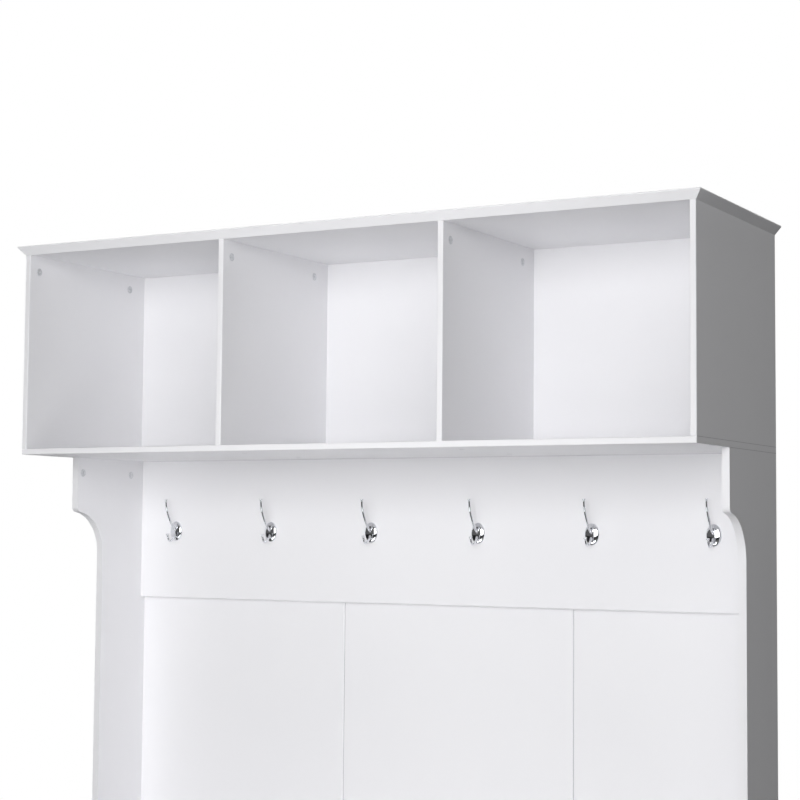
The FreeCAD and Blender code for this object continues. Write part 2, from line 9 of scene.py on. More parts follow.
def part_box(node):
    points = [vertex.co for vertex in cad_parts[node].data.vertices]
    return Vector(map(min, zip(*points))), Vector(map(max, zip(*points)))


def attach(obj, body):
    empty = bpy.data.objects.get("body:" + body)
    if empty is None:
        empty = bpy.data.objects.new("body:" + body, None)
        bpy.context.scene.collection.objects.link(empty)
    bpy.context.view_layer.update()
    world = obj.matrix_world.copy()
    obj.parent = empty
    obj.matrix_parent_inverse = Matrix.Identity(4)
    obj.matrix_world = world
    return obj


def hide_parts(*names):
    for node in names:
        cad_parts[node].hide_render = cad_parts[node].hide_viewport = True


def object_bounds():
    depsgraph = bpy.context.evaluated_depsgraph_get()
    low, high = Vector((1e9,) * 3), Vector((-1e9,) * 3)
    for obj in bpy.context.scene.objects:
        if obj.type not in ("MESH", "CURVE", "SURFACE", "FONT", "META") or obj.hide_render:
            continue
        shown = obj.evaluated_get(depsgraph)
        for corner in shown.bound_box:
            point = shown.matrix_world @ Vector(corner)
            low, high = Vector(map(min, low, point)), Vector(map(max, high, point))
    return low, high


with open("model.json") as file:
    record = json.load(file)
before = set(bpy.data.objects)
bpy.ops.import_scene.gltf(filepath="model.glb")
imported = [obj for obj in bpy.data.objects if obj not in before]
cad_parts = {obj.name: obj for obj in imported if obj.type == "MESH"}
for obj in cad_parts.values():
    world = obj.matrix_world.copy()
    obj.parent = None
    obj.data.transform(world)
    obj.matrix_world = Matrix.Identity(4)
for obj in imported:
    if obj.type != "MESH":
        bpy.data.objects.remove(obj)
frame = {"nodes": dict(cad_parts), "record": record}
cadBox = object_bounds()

scene = bpy.context.scene
scene.view_settings.view_transform = "Standard"
mm = 0.001
nodes = frame["nodes"]
slotOf = {part["node"]: part["material_slot"] for part in frame["record"]["subparts"]}
print("frame loaded:", len(nodes), "nodes")


# one socket of a node tree, for use in plain sums
class shade:
    def __init__(self, tree, socket):
        self.tree = tree
        self.socket = socket

    def __add__(self, other):
        return self.tree.maths("ADD", self, other)

    def __radd__(self, other):
        return self.tree.maths("ADD", other, self)

    def __sub__(self, other):
        return self.tree.maths("SUBTRACT", self, other)

    def __rsub__(self, other):
        return self.tree.maths("SUBTRACT", other, self)

    def __mul__(self, other):
        return self.tree.maths("MULTIPLY", self, other)

    def __rmul__(self, other):
        return self.tree.maths("MULTIPLY", other, self)

    def __abs__(self):
        return self.tree.maths("ABSOLUTE", self, 0)

    # 0 up to the first value, 1 from the second on, and a soft step between
    def step(self, low, high):
        settings = {"interpolation_type": "SMOOTHSTEP"}
        sockets = {"Value": self, "From Min": low, "From Max": high}
        return self.tree.node("ShaderNodeMapRange", settings, sockets)


def rgba(colour):
    return (*colour, 1)


def grey(level):
    return rgba((level, level, level))


# a material's or the world's nodes
class shaderTree:
    def __init__(self, nodeTree):
        self.nodeTree = nodeTree
        nodeTree.nodes.clear()

    # any node: its type, its settings, the values or links of its sockets, and the output wanted
    def node(self, kind, settings, sockets, output=0):
        made = self.nodeTree.nodes.new(kind)
        for key, value in settings.items():
            setattr(made, key, value)
        for key, value in sockets.items():
            if isinstance(value, shade):
                self.nodeTree.links.new(value.socket, made.inputs[key])
            else:
                made.inputs[key].default_value = value
        return shade(self, made.outputs[output]) if made.outputs else None

    def maths(self, operation, first, second):
        return self.node("ShaderNodeMath", {"operation": operation}, {0: first, 1: second})

    # each colour is a link or (red, green, blue)
    def mix(self, factor, first, second):
        colours = [c if isinstance(c, shade) else rgba(c) for c in (first, second)]
        sockets = {0: factor, 6: colours[0], 7: colours[1]}  # 6, 7 and output 2 are the node's colours
        return self.node("ShaderNodeMix", {"data_type": "RGBA"}, sockets, 2)

    def normal(self):
        return self.node("ShaderNodeNewGeometry", {}, {}, "Normal")

    def place(self, stretch=(1, 1, 1)):
        spot = self.node("ShaderNodeTexCoord", {}, {}, "Object")
        if stretch == (1, 1, 1):
            return spot
        return self.node("ShaderNodeVectorMath", {"operation": "MULTIPLY"}, {0: spot, 1: stretch})

    def noise(self, scale, detail, stretch=(1, 1, 1)):
        sockets = {"Vector": self.place(stretch), "Scale": scale, "Detail": detail}
        return self.node("ShaderNodeTexNoise", {}, sockets)

    def axis(self, vector, letter):
        return self.node("ShaderNodeSeparateXYZ", {}, {0: vector}, letter)

    def bump(self, height, strength, distance):
        sockets = {"Height": height, "Strength": strength, "Distance": distance}
        return self.node("ShaderNodeBump", {}, sockets)

    def principled(self, sockets):
        shader = self.node("ShaderNodeBsdfPrincipled", {}, sockets)
        self.node("ShaderNodeOutputMaterial", {}, {"Surface": shader})


def newMaterial(name):
    material = bpy.data.materials.new(name)
    material.use_nodes = True
    return material, shaderTree(material.node_tree)


noiseMiddle = 0.5  # what a noise varies about


# white satin foil on board: faint mottling, a pearl grain and slow waves in the press,
# with bare chipboard on the edges that stand against the wall
boardLook = {
    "white": (0.900, 0.898, 0.918),
    "cloudWhite": (0.886, 0.885, 0.907),
    "clouds": (2.3, 3),  # a noise has its scale, its detail and, where it runs one way, its stretch
    "cloudEdges": (0.35, 0.7),
    "pearl": (1100, 2),
    "pearlHeight": 0.04,
    "waves": (9, 1),
    "smears": (5, 4, (1, 1, 0.35)),
    "rough": 0.36,
    "roughSpread": 0.10,
    "sheen": 0.15,
    "ior": 1.5,
    "bump": (0.12, 0.4 * mm),  # strength and distance
    "chips": (330, 3),
    "chipEdges": (0.38, 0.62),
    "chipPale": (0.56, 0.43, 0.29),
    "chipDark": (0.33, 0.23, 0.14),
    "chipRough": 0.5,
    "chipHeight": 1.5,
    "facing": (0.8, 0.95),  # the step in a normal's share along an axis
    "planeDepths": (0.8, 0.4),  # the step up to a plane, mm short of it
    # painted shade: the dark colour laid along joints and seams for the shadow in their hairline gaps
    "paintedGapShade": (0.34, 0.34, 0.36),
    "gapShadeWidth": 0.5,  # half the width of the painted shade line at a joint, mm
    "gapShadeCore": 0.6,  # share of that half in full shade
    # how far a seam line takes on the painted gap shade
    "seamShadeDepth": 0.65,
}
rearPlane = cadBox[1][1]


# 1 on faces that look along an axis and lie at a plane across it or beyond
def atPlane(facing, along, plane):
    start, full = (plane - depth * mm for depth in boardLook["planeDepths"])
    return facing.step(*boardLook["facing"]) * along.step(start, full)


# 1 only within the half width of any of these places, where painted gap shade goes
def jointMask(along, places):
    half = boardLook["gapShadeWidth"] * mm
    mask = 0
    for place in places:
        mask = 1 - abs(along - place).step(boardLook["gapShadeCore"] * half, half) + mask
    return mask


# joints are X places; a seam has the axis and the plane of its faces, and its heights; both get a dark line
# of painted shade for the hairline gap between boards
def makeBoard(name, joints=(), seam=None):
    material, tree = newMaterial(name)
    clouds = tree.noise(*boardLook["clouds"])
    pearl = tree.noise(*boardLook["pearl"])
    waves = tree.noise(*boardLook["waves"])
    smears = tree.noise(*boardLook["smears"])
    chips = tree.noise(*boardLook["chips"])
    spot = tree.place()
    normal = tree.normal()
    bare = atPlane(tree.axis(normal, "Y"), tree.axis(spot, "Y"), rearPlane)
    foil = tree.mix(clouds.step(*boardLook["cloudEdges"]), boardLook["white"], boardLook["cloudWhite"])
    if joints:
        # painted shade of the hairline gaps at the joints
        foil = tree.mix(jointMask(tree.axis(spot, "X"), joints), foil, boardLook["paintedGapShade"])
    if seam:
        # painted shade of a seam's hairline gap, on the outer faces only
        letter, plane, heights = seam
        outside = atPlane(abs(tree.axis(normal, letter)), abs(tree.axis(spot, letter)), plane)
        line = outside * jointMask(tree.axis(spot, "Z"), heights) * boardLook["seamShadeDepth"]
        foil = tree.mix(line, foil, boardLook["paintedGapShade"])
    chipboard = tree.mix(chips.step(*boardLook["chipEdges"]), boardLook["chipDark"], boardLook["chipPale"])
    rough = boardLook["rough"] + boardLook["roughSpread"] * (smears - noiseMiddle)
    rough = rough + bare * boardLook["chipRough"]
    height = pearl * boardLook["pearlHeight"] + waves + bare * chips * boardLook["chipHeight"]
    tree.principled({
        "Base Color": tree.mix(bare, foil, chipboard),
        "Roughness": rough,
        "Normal": tree.bump(height, *boardLook["bump"]),
        "IOR": boardLook["ior"],
        "Specular IOR Level": boardLook["sheen"],
    })
    return material


# hardboard: white paint inside, bare brown fibre towards the wall
fibreLook = {
    "paint": (0.80, 0.80, 0.79),
    "pale": (0.36, 0.235, 0.14),
    "dark": (0.22, 0.135, 0.075),
    "wallFacing": (0.4, 0.6),
    "fibres": (420, 4, (1, 1, 0.5)),
    "fibreEdges": (0.35, 0.68),
    "fibreHeight": 0.6,
    "weave": (900, 1),
    "weaveHeight": 0.4,
    "rough": 0.45,
    "wallRough": 0.35,
    "bump": (0.35, 0.2 * mm),
}


def makeHardboard():
    material, tree = newMaterial("hardboard")
    wallSide = tree.axis(tree.normal(), "Y").step(*fibreLook["wallFacing"])
    fibres = tree.noise(*fibreLook["fibres"])
    weave = abs(tree.noise(*fibreLook["weave"]) - noiseMiddle) * 2
    brown = tree.mix(fibres.step(*fibreLook["fibreEdges"]), fibreLook["dark"], fibreLook["pale"])
    height = fibres * fibreLook["fibreHeight"] + weave * fibreLook["weaveHeight"]
    tree.principled({
        "Base Color": tree.mix(wallSide, fibreLook["paint"], brown),
        "Roughness": fibreLook["rough"] + wallSide * fibreLook["wallRough"],
        "Normal": tree.bump(height, *fibreLook["bump"]),
    })
    return material


# polished chrome with the least trace of buffing
chromeLook = {
    "bright": (0.86, 0.87, 0.89),
    "dull": (0.78, 0.79, 0.82),
    "buffing": (260, 3, (1, 1, 0.2)),
    "buffEdges": (0.3, 0.75),
    "rough": 0.05,
    "buffRough": 0.05,
    "bump": (0.03, 0.05 * mm),
}


def makeChrome():
    material, tree = newMaterial("chrome")
    buffing = tree.noise(*chromeLook["buffing"])
    worn = buffing.step(*chromeLook["buffEdges"])
    tree.principled({
        "Base Color": tree.mix(worn, chromeLook["bright"], chromeLook["dull"]),
        "Metallic": 1.0,
        "Roughness": chromeLook["rough"] + buffing * chromeLook["buffRough"],
        "Normal": tree.bump(buffing, *chromeLook["bump"]),
    })
    return material


# zinc plate and die-cast zinc: cloudy grey with fine speckle
zincLook = {
    "pale": (0.80, 0.81, 0.83),
    "dark": (0.62, 0.63, 0.65),
    "clouds": (180, 4),
    "cloudEdges": (0.3, 0.7),
    "cloudHeight": 0.5,
    "speckle": (2400, 1),
    "speckleHeight": 0.5,
    "metal": 0.6,
    "rough": 0.36,
    "cloudRough": 0.2,
    "bump": (0.2, 0.05 * mm),
}


def makeZinc():
    material, tree = newMaterial("zinc")
    clouds = tree.noise(*zincLook["clouds"])
    speckle = tree.noise(*zincLook["speckle"])
    height = clouds * zincLook["cloudHeight"] + speckle * zincLook["speckleHeight"]
    tree.principled({
        "Base Color": tree.mix(clouds.step(*zincLook["cloudEdges"]), zincLook["pale"], zincLook["dark"]),
        "Metallic": zincLook["metal"],
        "Roughness": zincLook["rough"] + clouds * zincLook["cloudRough"],
        "Normal": tree.bump(height, *zincLook["bump"]),
    })
    return material


# bare beech: short dark flecks along the grain
beechLook = {
    "pale": (0.62, 0.42, 0.25),
    "fleck": (0.42, 0.25, 0.13),
    "grain": (700, 3, (0.12, 1, 1)),
    "grainEdges": (0.3, 0.8),
    "flecks": (2200, 1, (0.2, 1, 1)),
    "fleckEdges": (0.58, 0.7),
    "rough": 0.55,
    "grainRough": 0.2,
    "bump": (0.2, 0.1 * mm),
}


def makeBeech():
    material, tree = newMaterial("beech")
    grain = tree.noise(*beechLook["grain"])
    flecks = tree.noise(*beechLook["flecks"]).step(*beechLook["fleckEdges"])
    wood = tree.mix(grain.step(*beechLook["grainEdges"]), beechLook["pale"], beechLook["fleck"])
    tree.principled({
        "Base Color": tree.mix(flecks, wood, beechLook["fleck"]),
        "Roughness": beechLook["rough"] + grain * beechLook["grainRough"],
        "Normal": tree.bump(grain, *beechLook["bump"]),
    })
    return material


# moulded plastic with a spark-eroded skin
plasticLook = {
    "kinds": {
        "whitePlastic": {"tone": (0.80, 0.80, 0.80), "shade": (0.76, 0.76, 0.765), "rough": 0.36},
        "greyPlastic": {"tone": (0.30, 0.30, 0.31), "shade": (0.25, 0.25, 0.26), "rough": 0.45},
    },
    "flow": (14, 3),
    "flowEdges": (0.3, 0.75),
    "skin": (1900, 2),
    "skinRough": 0.15,
    "bump": (0.25, 0.06 * mm),
}


def makePlastic(name):
    kind = plasticLook["kinds"][name]
    material, tree = newMaterial(name)
    flow = tree.noise(*plasticLook["flow"])
    skin = tree.noise(*plasticLook["skin"])
    tree.principled({
        "Base Color": tree.mix(flow.step(*plasticLook["flowEdges"]), kind["tone"], kind["shade"]),
        "Roughness": kind["rough"] + skin * plasticLook["skinRough"],
        "Normal": tree.bump(skin, *plasticLook["bump"]),
    })
    return material


finishes = {
    "white_board": makeBoard("whiteBoard"),
    "hardboard": makeHardboard(),
    "chrome": makeChrome(),
    "zinc_steel": makeZinc(),
    "beech": makeBeech(),
    "white_plastic": makePlastic("whitePlastic"),
    "grey_plastic": makePlastic("greyPlastic"),
}
for name, node in nodes.items():
    node.data.materials.clear()
    node.data.materials.append(finishes[slotOf[name]])


# boards that show a joint have the shade of its hairline gap painted into their finish as a dark line
def finishBoards(material, names):
    for name in names:
        nodes[name].data.materials[0] = material


# painted shade along the joints between the back panels
panelJoints = [corner.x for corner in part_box("back_panel_middle")]
panels = ("back_panel_left", "back_panel_middle", "back_panel_right")
finishBoards(makeBoard("jointGapShadedBoard", joints=panelJoints), panels)
# painted shade along the deck's seams on the outer faces of the sides, deck and uprights
deckLow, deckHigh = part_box("cabinet_deck")
deckSeam = ("X", deckHigh.x, (deckLow.z, deckHigh.z))
deckBoards = ("cabinet_side_left", "cabinet_side_right", "cabinet_deck", "upright_left", "upright_right")
finishBoards(makeBoard("seamGapShadedBoard", seam=deckSeam), deckBoards)
railLow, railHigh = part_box("hook_rail")
# painted shade along the rail's top edge, for the gap under the deck
railSeam = ("Y", railLow.y, (railHigh.z,))
finishBoards(makeBoard("railGapShadedBoard", seam=railSeam), ("hook_rail",))
print("finishes on the nodes:", len(finishes))


# angles of the corners round a ring
def ringAngles(sides):
    return [2 * math.pi * n / sides for n in range(sides)]


# corners and faces of several shells, gathered into one piece
class shells:
    def __init__(self):
        self.corners = []
        self.faces = []

    def add(self, corners, faces, matrix=Matrix()):
        start = len(self.corners)
        self.corners += [matrix @ Vector(c) for c in corners]
        self.faces += [[start + n for n in face] for face in faces]

    # rings of as many corners each, closed by a face at both ends
    def skin(self, rings, matrix=Matrix()):
        count = len(rings[0])
        faces = []
        for ring in range(len(rings) - 1):
            low = ring * count
            high = low + count
            for n in range(count):
                following = (n + 1) % count
                faces.append((low + n, low + following, high + following, high + n))
        last = (len(rings) - 1) * count
        faces.append(tuple(reversed(range(count))))
        faces.append(tuple(last + n for n in range(count)))
        self.add([corner for ring in rings for corner in ring], faces, matrix)

    # a profile of (radius, length) points turned about Z
    def turn(self, profile, sides):
        rings = []
        for radius, length in profile:
            rings.append([(radius * math.cos(a), radius * math.sin(a), length) for a in ringAngles(sides)])
        self.skin(rings)


# an object from gathered shells, shaded smooth across edges below an angle in degrees
def makeObject(name, shell, smoothAngle):
    mesh = bpy.data.meshes.new(name)
    mesh.from_pydata([tuple(c) for c in shell.corners], [], shell.faces)
    work = bmesh.new()
    work.from_mesh(mesh)
    bmesh.ops.recalc_face_normals(work, faces=work.faces)
    for edge in work.edges:
        edge.smooth = len(edge.link_faces) == 2 and edge.calc_face_angle() < math.radians(smoothAngle)
    for face in work.faces:
        face.smooth = True
    work.to_mesh(mesh)
    work.free()
    made = bpy.data.objects.new(name, mesh)
    scene.collection.objects.link(made)
    return made


# such an object with a finish
def makePiece(name, shell, slot, smoothAngle):
    piece = makeObject(name, shell, smoothAngle)
    piece.data.materials.append(finishes[slot])
    return piece


# a smooth run through given points, with as many steps between each two
def smoothRun(points, steps):
    padded = [2 * points[0] - points[1], *points, 2 * points[-1] - points[-2]]
    run = []
    for before, start, end, after in zip(padded, padded[1:], padded[2:], padded[3:]):
        for n in range(steps):
            t = n / steps
            bend = 2 * start + t * (end - before)
            bend += t * t * (2 * before - 5 * start + 4 * end - after)
            bend += t * t * t * (3 * start - before - 3 * end + after)
            run.append(bend / 2)
    run.append(points[-1])
    return run


# double hooks: an oval dome with a long upper prong and a short lower one, sizes in mm
hookLook = {
    "count": 6,
    "drop": 158.5,  # rail's upper edge to the hook's centre
    "plate": (15.4, 22.0),  # half width and half height
    "edge": 0.7,
    "rim": 1.6,
    "dome": 4.8,
    "domeRings": 14,
    "pole": 0.02,  # share of the plate that is flat at the top of the dome
    "plateSides": 48,
    "upper": [(2, 2), (12, 8), (25, 23), (36, 42), (40, 54), (41.5, 65)],  # out and up
    "lower": [(2, -6), (9, -14), (17, -20), (24, -22.5), (30, -19), (33.5, -11.5)],
    "steps": 9,
    "root": 4.2,
    "neck": 2.6,
    "tip": 2.1,
    "flareShare": 0.3,  # share of a prong that widens towards its root
    # forward from the tip and radius: a bead, then a flared button
    "button": [(0.4, 2.1), (1.1, 2.5), (1.9, 2.1), (2.5, 1.7), (3.4, 2.6),
               (4.2, 3.8), (4.7, 4.0), (5.3, 3.7), (5.6, 2.6), (5.7, 1.2)],
    "sides": 20,
    "smooth": 60,
}


def addProng(shell, points, centre):
    run = smoothRun([Vector((0, -out, up)) for out, up in points], hookLook["steps"])
    root, neck, tip = hookLook["root"], hookLook["neck"], hookLook["tip"]
    last = len(run) - 1
    rings = []
    for n, point in enumerate(run):
        ahead = (run[min(n + 1, last)] - run[max(n - 1, 0)]).normalized()
        share = n / last
        flare = (root - neck) * max(0, 1 - share / hookLook["flareShare"]) ** 2
        rings.append((point, ahead, neck + (tip - neck) * share + flare))
    end, ahead = rings[-1][:2]
    for forward, radius in hookLook["button"]:
        rings.append((end + ahead * forward, ahead, radius))
    across = Vector((1, 0, 0))
    angles = ringAngles(hookLook["sides"])
    outline = []
    for point, ahead, radius in rings:
        lift = across.cross(ahead)
        outline.append([point + radius * (math.cos(a) * across + math.sin(a) * lift) for a in angles])
    shell.skin(outline, Matrix.Translation(centre) @ Matrix.Scale(mm, 4))


def addPlate(shell, centre):
    wide, tall = hookLook["plate"]
    rim, dome, count = hookLook["rim"], hookLook["dome"], hookLook["domeRings"]
    profile = [(1, 0), (1, hookLook["edge"])]  # share of the plate, and out from the rail
    for n in range(1, count):
        a = math.pi / 2 * n / count
        profile.append((math.cos(a), rim + dome * math.sin(a)))
    profile.append((hookLook["pole"], rim + dome))
    angles = ringAngles(hookLook["plateSides"])
    rings = []
    for share, out in profile:
        rings.append([(share * wide * math.cos(a), -out, share * tall * math.sin(a)) for a in angles])
    shell.skin(rings, Matrix.Translation(centre) @ Matrix.Scale(mm, 4))


for number in range(1, hookLook["count"] + 1):
    name = "hook_" + str(number)
    low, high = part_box(name)
    centre = Vector(((low.x + high.x) / 2, railLow.y, railHigh.z - hookLook["drop"] * mm))
    shell = shells()
    addPlate(shell, centre)
    addProng(shell, hookLook["upper"], centre)
    addProng(shell, hookLook["lower"], centre)
    hook = makePiece("coat_" + name, shell, "chrome", hookLook["smooth"])
    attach(hook, "frame")
    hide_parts(name)
print("hooks made")


# what the small hardware has in common
hardwareLook = {
    "smooth": 35,
    "crossFloor": 0.55,  # a driver cross's size at its floor, as a share of its top
    "weld": 0.01,  # corners of a node nearer than this are one corner, mm
    "decimals": 5,  # of the metres that solids are sorted by
}
leftward = Vector((-1, 0, 0))
rightward = Vector((1, 0, 0))
frontward = Vector((0, -1, 0))
rearward = Vector((0, 1, 0))
upward = Vector((0, 0, 1))
downward = Vector((0, 0, -1))


# the boxes of a node's separate solids, sorted by place
def islands(name):
    work = bmesh.new()
    work.from_mesh(nodes[name].data)
    bmesh.ops.remove_doubles(work, verts=work.verts, dist=hardwareLook["weld"] * mm)
    left = set(work.verts)
    boxes = []
    while left:
        reached = [left.pop()]
        group = []
        while reached:
            vert = reached.pop()
            group.append(vert.co.copy())
            for edge in vert.link_edges:
                other = edge.other_vert(vert)
                if other in left:
                    left.remove(other)
                    reached.append(other)
        low = Vector([min(c[i] for c in group) for i in range(3)])
        high = Vector([max(c[i] for c in group) for i in range(3)])
        boxes.append((low, high))
    work.free()
    decimals = hardwareLook["decimals"]
    return sorted(boxes, key=lambda box: tuple(round(v, decimals) for v in (*box[0], *box[1])))


# the middle of the face of a box that looks along an axis
def faceMiddle(low, high, outward):
    face = (low + high) / 2
    for i in range(3):
        if outward[i]:
            face[i] = high[i] if outward[i] > 0 else low[i]
    return face


# one shell with another cut out of it, both in mm
def carve(body, tool):
    pair = [makeObject("blank", shell, hardwareLook["smooth"]) for shell in (body, tool)]
    cut = pair[0].modifiers.new("cut", "BOOLEAN")
    cut.operation = "DIFFERENCE"
    cut.solver = "EXACT"
    cut.object = pair[1]
    evaluated = pair[0].evaluated_get(bpy.context.evaluated_depsgraph_get())
    mesh = bpy.data.meshes.new_from_object(evaluated)
    carved = shells()
    carved.add([v.co for v in mesh.vertices], [tuple(p.vertices) for p in mesh.polygons])
    for blank in pair:
        bpy.data.objects.remove(blank)
    return carved


# a driver's cross, from a height down to a depth, narrower at its floor
def crossTool(reach, arm, top, floor):
    rings = []
    for height, share in ((floor, hardwareLook["crossFloor"]), (top, 1)):
        long, half = reach * share, arm * share
        quarter = [(half, long), (half, half), (long, half)]
        corners = []
        for turn in range(4):
            swing = Matrix.Rotation(-math.pi / 2 * turn, 4, "Z")
            corners += [swing @ Vector((x, y, height)) for x, y in quarter]
        rings.append(corners)
    tool = shells()
    tool.skin(rings)
    return tool


# copies of a shell in mm, each with its Z axis along a direction from a place
def copies(template, places):
    gathered = shells()
    for place, outward in places:
        turn = outward.to_track_quat("Z", "X").to_matrix().to_4x4()
        matrix = Matrix.Translation(place) @ turn @ Matrix.Scale(mm, 4)
        gathered.add(template.corners, template.faces, matrix)
    return gathered


# such copies as one piece that takes a node's place
def setOut(name, template, places, node, body="frame"):
    piece = makePiece(name, copies(template, places), slotOf[node], hardwareLook["smooth"])
    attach(piece, body)
    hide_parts(node)


# cam locks: a die-cast drum with a thin collar and a cross for the driver, sizes in mm
camLook = {
    "drum": 6.9,
    "depth": 9.3,
    "collar": 8.2,
    "proud": 0.6,
    "rim": [(0, 0), (0, 0.5), (0.3, 1), (1.4, 1), (1.8, 0.4)],  # in from the collar, share of proud
    "cross": (4.3, 0.85, 1, -2.6),  # reach, half arm, top and floor
    "sides": 48,
    "rightZone": 30,  # cams from here to the right upright, and beyond, look left
}


def makeCams():
    drum, collar, proud = camLook["drum"], camLook["collar"], camLook["proud"]
    profile = [(drum, -camLook["depth"]), (drum, 0)]
    profile += [(collar - inward, share * proud) for inward, share in camLook["rim"]]
    body = shells()
    body.turn(profile, camLook["sides"])
    template = carve(body, crossTool(*camLook["cross"]))
    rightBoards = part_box("upright_right")[0].x - camLook["rightZone"] * mm
    places = []
    for low, high in islands("cam_locks"):
        outward = leftward if (low.x + high.x) / 2 > rightBoards else rightward
        places.append((faceMiddle(low, high, outward), outward))
    setOut("cam_discs", template, places, "cam_locks")


# screws: a pan head with a cross, on a pointed shank, sizes in mm
screwLook = {
    "kinds": {
        "panel_screws": {"head": 4.6, "rise": 1.8, "shank": 2.0, "length": 22, "outward": rearward},
        "deck_screws": {"head": 5.5, "rise": 0.4, "shank": 2.5, "length": 45, "outward": downward},
        "bracket_screws": {"head": 4.0, "rise": 2.0, "shank": 2.0, "length": 12, "outward": downward},
    },
    "hanging": ("bracket_screws",),  # these heads hang below their sheet
    "point": 0.2,
    "taper": 2,  # length of the point by the shank's radius
    "pan": [(1, 0), (1, 0.35), (0.93, 0.62), (0.74, 0.84), (0.42, 0.97), (0.1, 1)],  # by head and rise
    "cross": (0.56, 0.13, 2, 0.25),  # reach and half arm by head, top and floor by rise
    "sides": 32,
}


def makeScrews(node):
    kind = screwLook["kinds"][node]
    head, rise, shank, outward = (kind[key] for key in ("head", "rise", "shank", "outward"))
    sunk = rise if node in screwLook["hanging"] else 0
    tip = sunk - kind["length"]
    profile = [(screwLook["point"], tip), (shank, tip + screwLook["taper"] * shank), (shank, 0)]
    profile += [(wide * head, tall * rise) for wide, tall in screwLook["pan"]]
    body = shells()
    body.turn(profile, screwLook["sides"])
    reach, arm, top, floor = screwLook["cross"]
    template = carve(body, crossTool(reach * head, arm * head, top * rise, floor * rise))
    places = []
    for low, high in islands(node):
        places.append((faceMiddle(low, high, outward) - outward * sunk * mm, outward))
    setOut(node.replace("screws", "screw_heads"), template, places, node)


# glides: low turned buttons under the bench boards, radius and height in mm
glideLook = {"profile": [(5.8, 0), (6.9, 0.15), (7.6, 0.7), (8.0, 1.7), (8.0, 4.0)], "sides": 40}


def makeGlides():
    template = shells()
    template.turn(glideLook["profile"], glideLook["sides"])
    places = [(faceMiddle(low, high, downward), upward) for low, high in islands("floor_glides")]
    setOut("glide_buttons", template, places, "floor_glides")


# stop studs: round pegs with an eased end, each pointing into its drawer, sizes in mm
pegLook = {"radius": 4.0, "ease": 0.6, "slack": 1, "sides": 32}


def makePegs():
    radius, ease, slack = pegLook["radius"], pegLook["ease"], pegLook["slack"] * mm
    boards = [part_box(name) for name in ("bench_side_left", "bench_divider", "bench_side_right")]
    studs = islands("stop_studs")
    length = (studs[0][1].x - studs[0][0].x) / mm
    template = shells()
    template.turn([(radius, -length), (radius, -ease), (radius - ease, 0)], pegLook["sides"])
    places = []
    for low, high in studs:
        # a board holds one end, and the peg looks the other way
        heldLeft = any(board[0].x - slack < low.x < board[1].x + slack for board in boards)
        outward = rightward if heldLeft else leftward
        places.append((faceMiddle(low, high, outward), outward))
    setOut("stop_pegs", template, places, "stop_studs")


# knobs: a waisted stem under a domed head, radius and distance from the front in mm
knobLook = {
    "profile": [(1.9, -11), (1.9, 0), (7.4, 0), (7.6, 0.5), (7.0, 1.3), (5.9, 3.2), (5.5, 5.5),
                (5.9, 8), (7.4, 10.2), (10.2, 11.8), (12.6, 12.9), (13.7, 14.3), (14.0, 16.0),
                (13.6, 17.9), (12.2, 19.9), (9.7, 21.5), (6.4, 22.5), (3.0, 22.9), (0.3, 23.0)],
    "sides": 56,
}


def makeKnobs():
    template = shells()
    template.turn(knobLook["profile"], knobLook["sides"])
    for side in ("left", "right"):
        node = "knob_" + side
        low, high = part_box(node)
        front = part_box("flip_front_" + side)[0].y
        place = Vector(((low.x + high.x) / 2, front, (low.z + high.z) / 2))
        setOut("pull_" + side, template, [(place, frontward)], node, "flip_" + side)


# pins along the edges and the middle of the bench's back sheet, sizes in mm
pinLook = {
    "radius": 1.7,
    "proud": 0.02,
    "faceShare": 0.8,
    "headDepth": 0.3,
    "shank": 0.6,
    "length": 12,
    "inset": 9,
    "pitch": 110,
    "sides": 16,
}


def makePins():
    low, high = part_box("bench_back")
    inset, pitch = pinLook["inset"] * mm, pinLook["pitch"] * mm
    wide = high.x - low.x - 2 * inset
    tall = high.z - low.z - 2 * inset
    across, rise = round(wide / pitch), round(tall / pitch)
    spots = []
    for n in range(across + 1):
        x = low.x + inset + wide * n / across
        spots += [(x, low.z + inset), (x, high.z - inset)]
    for n in range(1, rise):
        z = low.z + inset + tall * n / rise
        spots += [(low.x + inset, z), (0, z), (high.x - inset, z)]
    radius, shank, depth = pinLook["radius"], pinLook["shank"], pinLook["headDepth"]
    profile = [(shank, -pinLook["length"]), (shank, -depth), (radius, -depth), (radius, 0)]
    profile.append((pinLook["faceShare"] * radius, pinLook["proud"]))
    template = shells()
    template.turn(profile, pinLook["sides"])
    places = [(Vector((x, high.y, z)), rearward) for x, z in spots]
    pins = makePiece("back_pins", copies(template, places), "zinc_steel", hardwareLook["smooth"])
    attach(pins, "frame")


makeCams()
for node in screwLook["kinds"]:
    makeScrews(node)
makeGlides()
makePegs()
makeKnobs()
makePins()
print("hardware made")


# camera at the photograph's viewing angle: metres, degrees, and mm of lens and sensor
cameraLook = {
    "place": (1.8592, -3.2465, 1.1978),
    "yaw": 29.19,
    "pitch": 4.12,
    "roll": 0.481,
    "lens": 83.506,
    "sensor": 36,
}


def makeCamera():
    data = bpy.data.cameras.new("viewer")
    data.sensor_width = cameraLook["sensor"]
    data.lens = cameraLook["lens"]
    viewer = bpy.data.objects.new("viewer", data)
    scene.collection.objects.link(viewer)
    yaw, pitch, roll = (math.radians(cameraLook[key]) for key in ("yaw", "pitch", "roll"))
    right = Vector((math.cos(yaw), math.sin(yaw), 0))
    ahead = Vector((-math.sin(yaw) * math.cos(pitch), math.cos(yaw) * math.cos(pitch), math.sin(pitch)))
    above = right.cross(ahead)
    tiltedRight = math.cos(roll) * right + math.sin(roll) * above
    tiltedAbove = math.cos(roll) * above - math.sin(roll) * right
    turn = Matrix((tiltedRight, tiltedAbove, -ahead)).transposed()
    viewer.matrix_world = Matrix.Translation(cameraLook["place"]) @ turn.to_4x4()
    scene.camera = viewer


